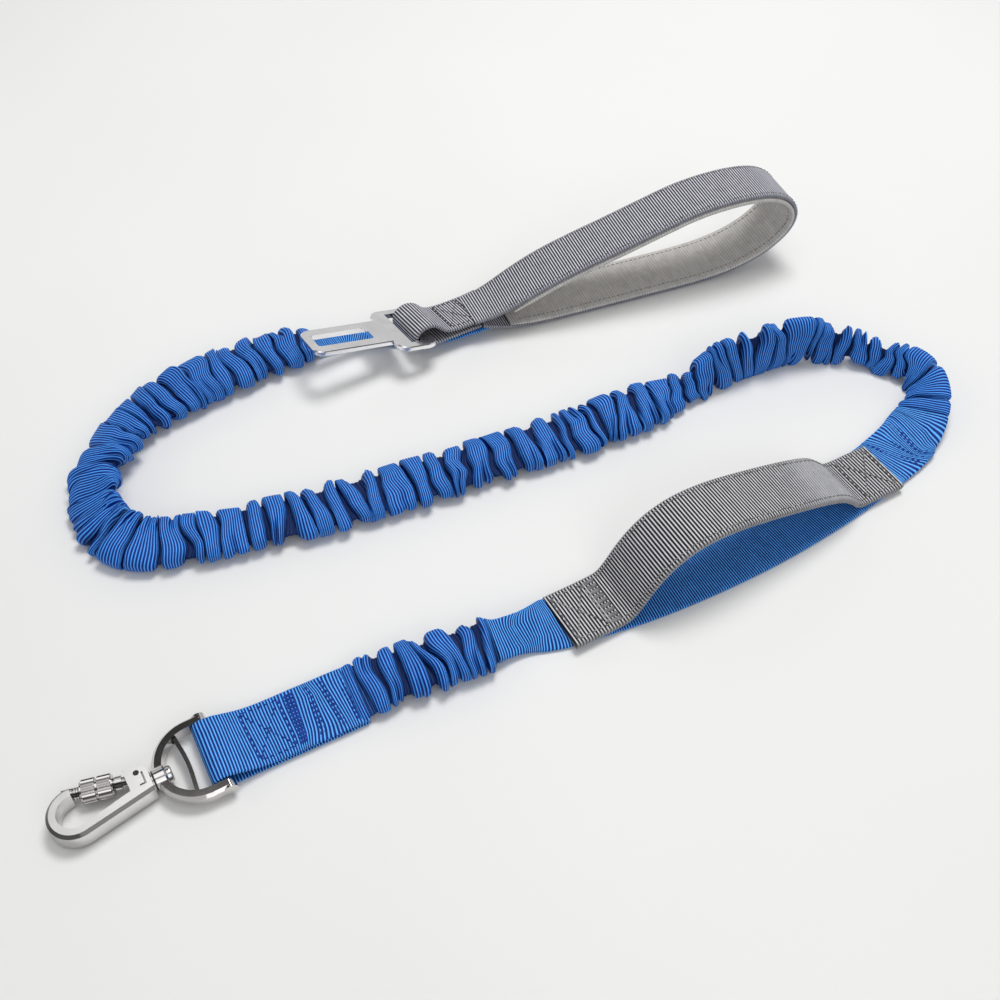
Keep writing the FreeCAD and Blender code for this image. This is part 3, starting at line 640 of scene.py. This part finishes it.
# The gathered sleeves get deep painted shade in their pleat gaps, tinted dark blue.
GATHERED = fabric_material("blue_gathered", [
    (0.15, (0.001, 0.010, 0.11)), (0.40, (0.008, 0.066, 0.39)),
    (0.70, (0.024, 0.180, 0.70)), (0.95, (0.13, 0.47, 1.0))],
    groove=0.06, gap_shade_colour=(0.0, 0.008, 0.070))
GREY = fabric_material("grey_webbing", [
    (0.22, (0.006, 0.006, 0.008)), (0.46, (0.07, 0.07, 0.075)),
    (0.70, (0.38, 0.38, 0.40)), (0.95, (0.72, 0.72, 0.74))], yarn=1.2)
LOOP_GREY = fabric_material("grey_loop_webbing", [
    (0.15, (0.014, 0.014, 0.022)), (0.40, (0.09, 0.09, 0.115)),
    (0.68, (0.31, 0.31, 0.35)), (0.93, (0.74, 0.74, 0.80))])
LINING = fabric_material("lining", [
    (0.1, (0.16, 0.16, 0.16)), (0.55, (0.28, 0.28, 0.29)), (0.95, (0.36, 0.36, 0.37))], yarn=1.4)
NEOPRENE = fabric_material("neoprene", [
    (0.05, (0.44, 0.425, 0.405)), (0.5, (0.53, 0.515, 0.495)), (0.95, (0.58, 0.565, 0.545))],
    groove=0.8, roughness=0.85, yarn=1.5, specular=0.2)
GREY_THREAD = thread_material("grey_thread", (0.22, 0.22, 0.23))
DARK_THREAD = thread_material("dark_grey_thread", (0.06, 0.06, 0.065))
TAUPE_THREAD = thread_material("taupe_thread", (0.30, 0.29, 0.275))
BLUE_THREAD = thread_material("blue_thread", (0.007, 0.048, 0.31))
CAST = metal_material("cast_metal", (0.78, 0.765, 0.76), 0.14, bevel_shade=0.15)
CHROME = metal_material("polished_metal", (0.66, 0.64, 0.63), 0.08)
PLATE = metal_material("plated_steel", (0.93, 0.92, 0.925), 0.20)
WIRE = metal_material("spring_wire", (0.45, 0.45, 0.46), 0.3)


def finish_piece(obj, material, body, replaces=()):
    """Material, slot and body of a piece. A body that is not a name, such as (a, b, start, end), attaches
    it to no body: its transform is baked into its mesh.
    """
    obj.data.materials.clear()
    obj.data.materials.append(material)
    if isinstance(body, str):
        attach(obj, body)
    else:
        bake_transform(obj)
    if replaces:
        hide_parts(*replaces)
    return obj


# ---- the blue line, from the clip to the tongue ---------------------------------------
# Each row is x, y, z, roll, half width, half thickness, fold depth, edge depth, wander.
LINE = [
    (-63.2, -104.2, 2.2, 0, 11.8, 2.2, 0.9, 0.4, 0.2),
    (-59, -102.2, 3.2, 0, 12.0, 3.2, 2.0, 1.2, 0.5),
    (-53, -99.4, 4.2, 0, 11.9, 4.2, 3.0, 2.0, 0.7),
    (-46, -96.4, 4.8, 0, 11.5, 4.8, 3.5, 2.38, 0.8),
    (-35, -92.2, 4.9, 0, 11.1, 4.9, 3.6, 2.66, 1),
    (-25, -88.2, 5, -3, 11.1, 5.2, 3.6, 2.66, 1),
    (-17, -84.8, 5.4, -8, 11.1, 5.6, 3.6, 2.66, 0.8),
    (-12.5, -83.0, 4.8, -18, 8.0, 2.6, 1.4, 0.6, 0.8),
    (-8, -81.2, 4.8, -26, 7.4, 1.9, 0.5, 0.2, 1.4),
    (-2, -78.6, 4.6, -28, 7.8, 1.6, 0.3, 0, 1.5),
    (4, -76.0, 3.6, -18, 9.2, 1.3, 0.2, 0, 1.3),
    (10, -73.2, 2.0, -4, 11.0, 0.9, 0, 0, 0.3),
    (24, -67.0, 1.1, 0, 11.6, 0.8),
    (36, -62.4, 0.9, 0, 11.6, 0.8),
    (48, -57.3, 0.9, 0, 11.6, 0.8),
    (69, -47, 0.9, 0, 11.6, 0.8),
    (92, -34, 0.9, 0, 11.6, 0.8),
    (115, -18.5, 0.9, 0, 11.6, 0.8),
    (131, -6, 1.1, 0, 11.8, 0.8),
    (143, 4, 1.4, 0, 12, 0.9, 0, 0, 0.3),
    (150, 10, 1.8, 0, 12.2, 1.1, 0.1, 0, 1.0),
    (157, 17, 2.0, 0, 12.2, 1.2, 0.3, 0, 1.6),
    (162.6, 25, 2.6, 3, 11.4, 1.4, 0.4, 0, 1.4),
    (166.8, 32.5, 4.0, 12, 10.2, 2.2, 1.0, 0.4, 0.9),
    (169.4, 40.5, 5.8, 28, 8.8, 4.0, 2.8, 2.0, 0.9),
    (169.8, 48.5, 6.6, 48, 8.2, 4.4, 3.3, 3.0, 0.9),
    (167.4, 54.8, 6.8, 56, 8.0, 4.4, 3.39, 3.6, 1),
    (161, 60.3, 6.6, 58, 7.2, 4.3, 3.39, 3.6, 1.1),
    (152.4, 64.6, 6.4, 60, 6.8, 4.3, 3.39, 3.6, 1.1),
    (143, 67.8, 7.0, 66, 7.6, 4.5, 3.6, 3.9, 1),
    (132, 69.5, 8.8, 76, 10, 4.8, 3.82, 4.4, 1),
    (120, 68.5, 10.4, 84, 11.6, 4.8, 3.82, 4.25, 0.9),
    (108, 65, 11.2, 86, 12.6, 4.8, 3.82, 4.25, 0.9),
    (96, 60, 11, 86, 12.4, 4.8, 3.82, 4.25, 0.9),
    (85, 54.5, 10, 80, 11.6, 4.8, 3.82, 4, 0.9),
    (76, 49, 8.2, 68, 9.6, 4.4, 3.4, 3.75, 1),
    (69, 44.5, 6.0, 46, 6.6, 3.8, 2.8, 2.6, 2.0),
    (62.5, 40.4, 5.0, 22, 7.2, 4.0, 2.9, 2.4, 1.8),
    (53, 36, 5.2, 6, 10.9, 5, 3.82, 3.08, 0.8),
    (44, 31.8, 5, 2, 11.7, 5, 3.82, 2.8, 1),
    (30, 25, 4.9, 0, 11.9, 4.9, 3.71, 2.66, 1),
    (14, 17, 4.8, 0, 11.9, 4.8, 3.71, 2.66, 1),
    (0, 10.8, 4.8, 0, 11.9, 4.8, 3.71, 2.66, 1),
    (-21, 1.5, 4.8, 0, 11.9, 4.8, 3.71, 2.66, 1),
    (-43, -7.2, 4.8, 0, 11.9, 4.8, 3.71, 2.66, 1),
    (-66, -17, 4.8, 0, 11.7, 4.8, 3.71, 2.66, 1),
    (-89, -25, 4.8, 0, 11.5, 4.8, 3.71, 2.66, 1),
    (-109, -31, 4.8, 0, 11.3, 4.8, 3.71, 2.66, 0.9),
    (-129, -37, 5.1, 4, 11.5, 4.9, 3.82, 2.66, 1),
    (-148, -41, 5.4, 10, 11.5, 4.9, 3.6, 2.38, 0.9),
    (-163.5, -32.5, 6.2, 20, 11.3, 5.1, 3.5, 2.2, 0.8),
    (-171.6, -17, 6.8, 26, 11.1, 5.1, 3.4, 2.2, 0.8),
    (-172.6, 1, 6.4, 22, 11.3, 5.1, 3.5, 2.3, 0.9),
    (-166.5, 18, 5.5, 12, 11.7, 5.1, 3.7, 2.4, 1.2),
    (-157, 32.5, 5.3, 4, 12.3, 5.3, 3.8, 2.6, 1.3),
    (-144, 45, 5.8, 0, 12.8, 5.8, 3.7, 2.5, 1.3),
    (-128.5, 55.5, 6.0, 0, 12.8, 6.0, 3.7, 2.5, 1.1),
    (-114, 64, 5.6, 0, 12.2, 5.6, 3.6, 2.66, 1),
    (-103, 70, 5, 0, 10.9, 5.2, 3.82, 2.66, 0.8),
    (-97, 73.2, 4.6, 0, 9.7, 4.8, 3.6, 2.24, 0.6),
    (-92.5, 75.4, 2.4, 0, 7.0, 1.8, 0.6, 0.4, 0.5),
    (-87, 77.4, 1.6, 0, 6.4, 1.1, 0.2, 0.2, 0.7),
    (-76, 80.2, 1.4, 0, 6.4, 1.1, 0.2, 0.2, 0.7),
    (-62, 82.4, 1.4, 0, 6.6, 1.1, 0.2, 0.2, 0.6),
    (-49.6, 83.6, 1.6, 4, 8.8, 0.9, 0.1, 0.1, 0.4),
    (-41.2, 85.0, 1.9, 8, 11.0, 0.8, 0, 0, 0.2),
    (-31.1, 88.4, 2.7, 11, 12.2, 0.8, 0, 0, 0),
    (-19.2, 94.0, 3.4, 11, 12.2, 0.8, 0, 0, 0),
]
line = Path(LINE)
LAP = 0.5       # neighbouring pieces of the line run this far into each other


def stretch_of(start, end):
    """The part of the blue line between two points on it."""
    return line.cut(line.nearest(start) - LAP, line.nearest(end) + LAP)


def gathered(name, path, seed, body, replaces, **options):
    """A gathered sleeve that stands for its CAD sleeve and elastic."""
    sleeve = Woven(name, path, seed, **options)
    return finish_piece(sleeve.build(), GATHERED, body, replaces)


def webbing(name, path, seed, material, slot, body, replaces=(), squareness=7.0, columns=40,
            samples=5, **options):
    """A flat strap. Its object is its .made."""
    strap = Woven(name, path, seed, squareness=squareness, columns=columns, samples=samples,
                  darts=0.0, **options)
    strap.made = finish_piece(strap.build(), material, body, replaces)
    return strap


def flat_blue(name, start, end, seed, body, replaces=(), rib=0.22, pitch=1.0, **options):
    """A flat stretch of the blue line between two points on it."""
    return webbing(name, stretch_of(start, end), seed, BLUE, "blue_webbing", body, replaces,
                   rib=rib, pitch=pitch, **options)


# where one piece of the line gives way to the next
CLIP_END, LEAD_START, STRAP_START = (-64, -104.6), (-14, -83.6), (22, -67.9)
STRAP_END, ARC_START, RUN_START = (143, 4), (166.5, 31), (53, 36)
RUN_END, TAIL_START, TAIL_END = (-109, -31), (-94, 74.7), (-18, 95)
ARC_WIDTH, RUN_WIDTH, BEND_WIDTH = 20, 21, 21       # mm

arc_path, run_path = stretch_of(ARC_START, RUN_START), stretch_of(RUN_START, RUN_END)
bend_path = stretch_of(RUN_END, TAIL_START)
arc = gathered("arc_bungee", arc_path, 11, "strap", ("arc_bungee_sleeve", "arc_bungee_elastic"),
               pleat=7.4, jitter=0.34, overhang=0.5, valley=2.0, ruffled=1.8)
run = gathered("run_bungee", run_path, 23, ("strap", "hand_end", (*RUN_START, 5), (*RUN_END, 5)),
               ("run_bungee_sleeve", "run_bungee_elastic"), pleat=8.4, jitter=0.24, valley=2.3)
bend = gathered("bend_bungee", bend_path, 37, "hand_end",
                ("bend_bungee_sleeve", "bend_bungee_elastic"),
                pleat=8.2, jitter=0.28, valley=2.0, overhang=0.6, crinkle=1.0, shingle=0.34)
gathered("short_bungee", stretch_of(CLIP_END, LEAD_START), 41,
         ("hook_end", "strap", (-61, -103, 4), (-14, -83.5, 4)),
         ("short_bungee_sleeve", "short_bungee_elastic"), pleat=7.0, valley=2.0)
for piece, path, width in ((arc, arc_path, ARC_WIDTH), (run, run_path, RUN_WIDTH),
                           (bend, bend_path, BEND_WIDTH)):
    path.declared()

flat_blue("traffic_lead", LEAD_START, STRAP_START, 43, "strap", squareness=5.0, pleat=9)
flat_blue("traffic_strap_webbing", STRAP_START, STRAP_END, 47, "strap", ("traffic_strap",),
          columns=36, rib=0.2)
lead_in = flat_blue("bungee_lead_in_webbing", STRAP_END, ARC_START, 53, "strap", ("bungee_lead_in",),
                    columns=44, rib=0.26, pitch=1.1, squareness=5.0, pleat=5)
flat_blue("tail_webbing", TAIL_START, TAIL_END, 59, "hand_end", ("tail_strap",), squareness=4.5, pleat=6)


# ---- upright straps: clip tab, traffic handle, hand loop ------------------------------
# Each stands in an upright plane through its own corner point, turned about the vertical. A row
# is the distance along that plane and the height, and the roll in degrees where there is one.
TAB_AT, TAB_TURN, TAB_HALF, TAB_THICK = (-106.7, -126.8, 0), 27.5, 12.0, 0.75
HANDLE_AT, HANDLE_TURN = (14.5, -72.0, 0), 29.8
LOOP_AT, LOOP_TURN = (30.2, 112.5, 0), 21.0


def upright(profile, origin, turn, half, thick, wander=lambda along, height: 0.0):
    """A path in an upright plane."""
    a = math.radians(turn)
    rows = [(origin[0] + s * math.cos(a), origin[1] + s * math.sin(a), origin[2] + z,
             roll[0] if roll else 0, half, thick, 0, 0, wander(s, z)) for s, z, *roll in profile]
    return Path(rows, side=(math.sin(a), -math.cos(a), 0))


TAB = [
    (51.5, 0.9), (38, 0.8), (20, 0.8), (6, 0.8), (0, 0.8), (-3.4, 1.4), (-3.6, 4.4), (-2.4, 7.0),
    (2.2, 7.2), (6.5, 5.6), (11, 3.9), (16, 2.9), (24, 2.6), (32, 2.9), (38, 2.6), (44, 2.9),
    (51.5, 2.6),
]


def tab_wander(along, height):
    """The upper layer's ribs wave towards the bungee, and lie straight elsewhere."""
    return 1.2 if height > 2 and along > 27 else 0.15


tab_path = upright(TAB, TAB_AT, TAB_TURN, TAB_HALF, TAB_THICK, tab_wander)
tab = webbing("clip_tab_webbing", tab_path, 61, BLUE, "blue_webbing", "hook_end", ("clip_tab",),
              rib=0.22, pitch=1.05)

HANDLE = [
    (-4.5, 3.9), (5, 3.7), (14, 3.7), (19.5, 4.3), (23.5, 10), (29.5, 19.5), (38.5, 27), (50, 30.4),
    (64, 29.6), (78, 26.4), (93, 22.4), (108, 17.8), (117.5, 13.6), (123, 8.2), (126.5, 4.4),
    (131, 3.5), (140, 3.4), (149, 3.2),
]
LINING_BELOW = 1.5      # mm
handle_path = upright(HANDLE, HANDLE_AT, HANDLE_TURN, 12.2, 0.85)
lining_path = upright([(s, z - LINING_BELOW) for s, z in HANDLE], HANDLE_AT, HANDLE_TURN, 11.9, 0.7)


def handle_skew(t):
    """The ribs lean, in mm at the edge, where the handle comes down."""
    far = handle_path.length
    return -2.0 * smooth(t, 0.55 * far, 0.8 * far) * smooth(far - t, 20, 34)


def handle_calm(t):
    """The ribs lie flat and close where the handle comes down to its rear pad."""
    far = handle_path.length
    return 0.85 * smooth(t, 0.60 * far, 0.76 * far) * smooth(far - t, 22, 27)


handle = webbing("traffic_handle_webbing", handle_path, 67, GREY, "grey_webbing", "strap",
                 ("traffic_handle",), columns=44, samples=6, rib=0.3, pitch=1.3, selvedge=0.7,
                 skew=handle_skew, calm=handle_calm)
webbing("traffic_handle_lining_cloth", lining_path, 71, LINING, "grey_lining", "strap",
        ("traffic_handle_lining",), columns=36, rib=0.1, pitch=1.3, skew=handle_skew)

LOOP = [
    (-57, 5.4, 11), (-48, 3.0, 6), (-40, 2.2, 2), (-26, 1.3), (0, 1.1), (26, 1.1), (50, 1.1),
    (66, 2.6), (80, 6.6), (90, 12.4), (97, 20), (98, 29), (92, 37), (82, 41.6), (66, 43), (46, 41.4),
    (28, 36.4), (10, 31.2), (-6, 27.0), (-22, 22.2), (-36, 16.2, -2), (-46, 11.4, -6),
    (-54, 8.8, -10), (-60, 8.2, -11),
]
loop_path = upright(LOOP, LOOP_AT, LOOP_TURN, 12.2, 0.9)


def loop_calm(t):
    """The ribs draw together where the loop turns over."""
    share = t / loop_path.length
    return 0.75 * smooth(share, 0.36, 0.44) * smooth(0.60 - share, 0.0, 0.07)


loop = webbing("hand_loop_webbing", loop_path, 73, LOOP_GREY, "grey_webbing", "hand_end",
               ("hand_loop",), columns=44, rib=0.23, pitch=1.2, selvedge=0.7, calm=loop_calm)
padding_path = loop_path.raised(1.95, 13, loop_path.length - 18, 13.0, 1.15)
padding = webbing("hand_loop_padding_foam", padding_path, 79, NEOPRENE, "neoprene", "hand_end",
                  ("hand_loop_padding",), squareness=4.5, columns=44, rib=0.05, pitch=1.3)


# ---- keeper round the tongue's rim ----------------------------------------------------
def unit(vector):
    return vector / np.linalg.norm(vector)


RIM = np.array([-49.5, 79.1, 8.5])                  # middle of the rim
ACROSS = unit(np.array([0.491, -0.849, 0.195]))     # along the rim
ALONG = unit(np.array([ACROSS[1], -ACROSS[0], 0.0]))
RISE = np.cross(ALONG, ACROSS)
KEEPER = [
    (-28, -4.0), (-16, -4.0), (-6, -4.0), (0.5, -4.2), (3.4, -3.4), (4.0, 0.2), (2.6, 3.6),
    (-1.0, 5.2), (-4.8, 5.1), (-7.8, 3.2), (-9.6, 0.8), (-12.4, -0.6), (-17, -1.2), (-24, -1.3),
    (-31, -1.2), (-37, -0.6),
]
keeper_path = Path([(*(RIM + x * ALONG + z * RISE), 0, 12.0, 0.8) for x, z in KEEPER], side=-ACROSS)
keeper = webbing("keeper_webbing", keeper_path, 83, LOOP_GREY, "grey_webbing", "hand_end",
                 ("keeper_loop",), rib=0.23, pitch=1.2, selvedge=0.5)


# ---- stitching ------------------------------------------------------------------------
def box_lines(t0, t1, edge=0.82):
    """A box with both its diagonals."""
    corners = [(t0, -edge), (t1, -edge), (t1, edge), (t0, edge)]
    ring = list(zip(corners, corners[1:] + corners[:1]))
    return ring + [(corners[0], corners[2]), (corners[1], corners[3])]


def cross_lines(places, edge, lean=0.0):
    """A line across the strap at each length, leaning by so many mm."""
    return [((t, -edge), (t + lean, edge)) for t in places]


def edge_lines(start, end, edge):
    """A line along each edge of the strap."""
    return [((start, side * edge), (end, side * edge)) for side in (-1, 1)]


def sewn(name, woven, lines, material, slot, body, replaces=(), **options):
    made = stitch_lines(name, woven, lines, **options)
    return finish_piece(made, material, body, replaces)


def blue_seam(name, woven, lines, body, replaces=(), **options):
    return sewn(name, woven, lines, BLUE_THREAD, "blue_thread", body, replaces, **options)


def grey_seam(name, woven, lines, body, replaces=(), material=GREY_THREAD, **options):
    return sewn(name, woven, lines, material, "grey_thread", body, replaces, **options)


def tab_t(distance):
    """Length along the tab's path at a distance from the bar, on the upper layer."""
    a = math.radians(TAB_TURN)
    along = (tab_path.points - np.array(TAB_AT)) @ np.array([math.cos(a), math.sin(a), 0])
    upper = tab_path.s > tab_path.length * 0.5
    return float(np.interp(distance, along[upper], tab_path.s[upper]))


blue_seam("clip_tab_box_thread", tab, box_lines(tab_t(12.5), tab_t(26)), "hook_end",
          ("clip_tab_box_stitch",))
bar_places = [tab_t(28.2) + k * 0.42 for k in range(7)]
blue_seam("clip_tab_bar_thread", tab, cross_lines(bar_places, 0.86), "hook_end", ("clip_tab_bartack",),
          spacing=1.5, length=1.6)
row_places = [tab_t(distance) for distance in (35.0, 36.2, 41.4, 42.6, 47.4, 48.6)]
blue_seam("clip_tab_row_thread", tab, cross_lines(row_places, 0.86, 0.6), "hook_end",
          ("clip_tab_row_stitch",), spacing=1.9, length=1.6)

handle_end, loop_end, keeper_end = handle_path.length, loop_path.length, keeper_path.length
front = box_lines(1.8, 15.5) + cross_lines([16.6 + k * 0.5 for k in range(8)], 0.88)
grey_seam("handle_front_thread", handle, front, "strap", ("handle_front_stitch",), lift=0.28, radius=0.3)
grey_seam("handle_rear_thread", handle, box_lines(handle_end - 17.5, handle_end - 2.0), "strap",
          ("handle_rear_stitch",), lift=0.28, radius=0.3)
grey_seam("handle_edge_thread", handle, edge_lines(19, handle_end - 18, 0.84), "strap",
          spacing=2.4, length=2.0, radius=0.22, lift=0.25)
grey_seam("hand_loop_edge_thread", loop, edge_lines(8, loop_end - 8, 0.86), "hand_end",
          spacing=2.2, length=1.8, radius=0.2, top=False, lift=0.2)
grey_seam("padding_edge_thread", padding, edge_lines(4, padding_path.length - 4, 0.80), "hand_end",
          material=TAUPE_THREAD, spacing=2.3, length=1.8, radius=0.26, lift=0.08)
blue_seam("lead_in_row_thread", lead_in, cross_lines((7, 8.2, 13, 14.2, 19.5, 20.7), 0.86, 1.2), "strap",
          spacing=1.9, length=1.6)
grey_seam("keeper_thread", keeper, box_lines(keeper_end - 23.0, keeper_end - 10.5), "hand_end",
          ("hand_loop_stitch",), material=DARK_THREAD, top=False, lift=0.2)


# ---- metal: the CAD's own pieces ------------------------------------------------------
METALS = {
    "hook_body": CAST, "gate_rod": CAST, "gate_pin": CHROME, "lock_barrel": CHROME,
    "swivel_eye": CHROME, "swivel_rivet": CHROME, "swivel_washer": CHROME, "buckle_tongue": PLATE,
    "gate_spring": WIRE,
}
for name, material in METALS.items():
    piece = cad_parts[name]
    piece.data.materials.clear()
    piece.data.materials.append(material)
for name in ("hook_body", "swivel_eye", "buckle_tongue"):
    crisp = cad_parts[name].modifiers.new("crisp", "WEIGHTED_NORMAL")
    crisp.keep_sharp = True


# ---- floor and light ------------------------------------------------------------------
def area(name, location, size, power):
    """A white area light that looks at the origin."""
    data = bpy.data.lights.new(name, "AREA")
    data.shape = "RECTANGLE"
    data.size, data.size_y = size
    data.energy = power
    made = bpy.data.objects.new(name, data)
    SCENE.collection.objects.link(made)
    made.location = location
    made.rotation_euler = (-Vector(location)).to_track_quat("-Z", "Y").to_euler()


def add_floor():
    bpy.ops.mesh.primitive_plane_add(size=6.0, location=(0, 0, 0))
    floor = bpy.context.object
    floor.name = "floor"
    material, tree, shader = new_material("floor")
    where = node(tree, "ShaderNodeTexCoord").outputs["Object"]
    tones = [(0.3, (0.80, 0.80, 0.79)), (0.7, (0.84, 0.84, 0.83))]
    paint = ramp(tree, noise(tree, where, 3.0, 2.0), tones)
    tree.links.new(paint, shader.inputs["Base Color"])
    shader.inputs["Roughness"].default_value = 0.75
    floor.data.materials.append(material)


def add_world():
    """A pale studio all round, with a dark band high up for the metal to mirror."""
    world = bpy.data.worlds.new("studio")
    world.use_nodes = True
    tree = world.node_tree
    tree.nodes.clear()
    background = node(tree, "ShaderNodeBackground", {"Strength": 0.62})
    position = node(tree, "ShaderNodeTexCoord").outputs["Generated"]
    height = node(tree, "ShaderNodeSeparateXYZ", {0: position}).outputs["Z"]
    shades = [(0.0, grey(0.8)), (0.3, WHITE), (0.6, WHITE), (0.7, grey(0.06)), (0.86, grey(0.08)),
              (0.95, grey(0.8))]
    tree.links.new(ramp(tree, height, shades), background.inputs["Color"])
    out = node(tree, "ShaderNodeOutputWorld")
    tree.links.new(background.outputs[0], out.inputs[0])
    SCENE.world = world


add_floor()
area("key", (0.18, 0.48, 1.2), (0.6, 0.45), 10.5)
area("fill", (0.35, -0.75, 0.8), (0.7, 0.7), 2.0)
area("top", (-0.3, 0.0, 1.3), (0.9, 0.6), 1.5)
add_world()
SCENE.view_settings.view_transform = "Standard"
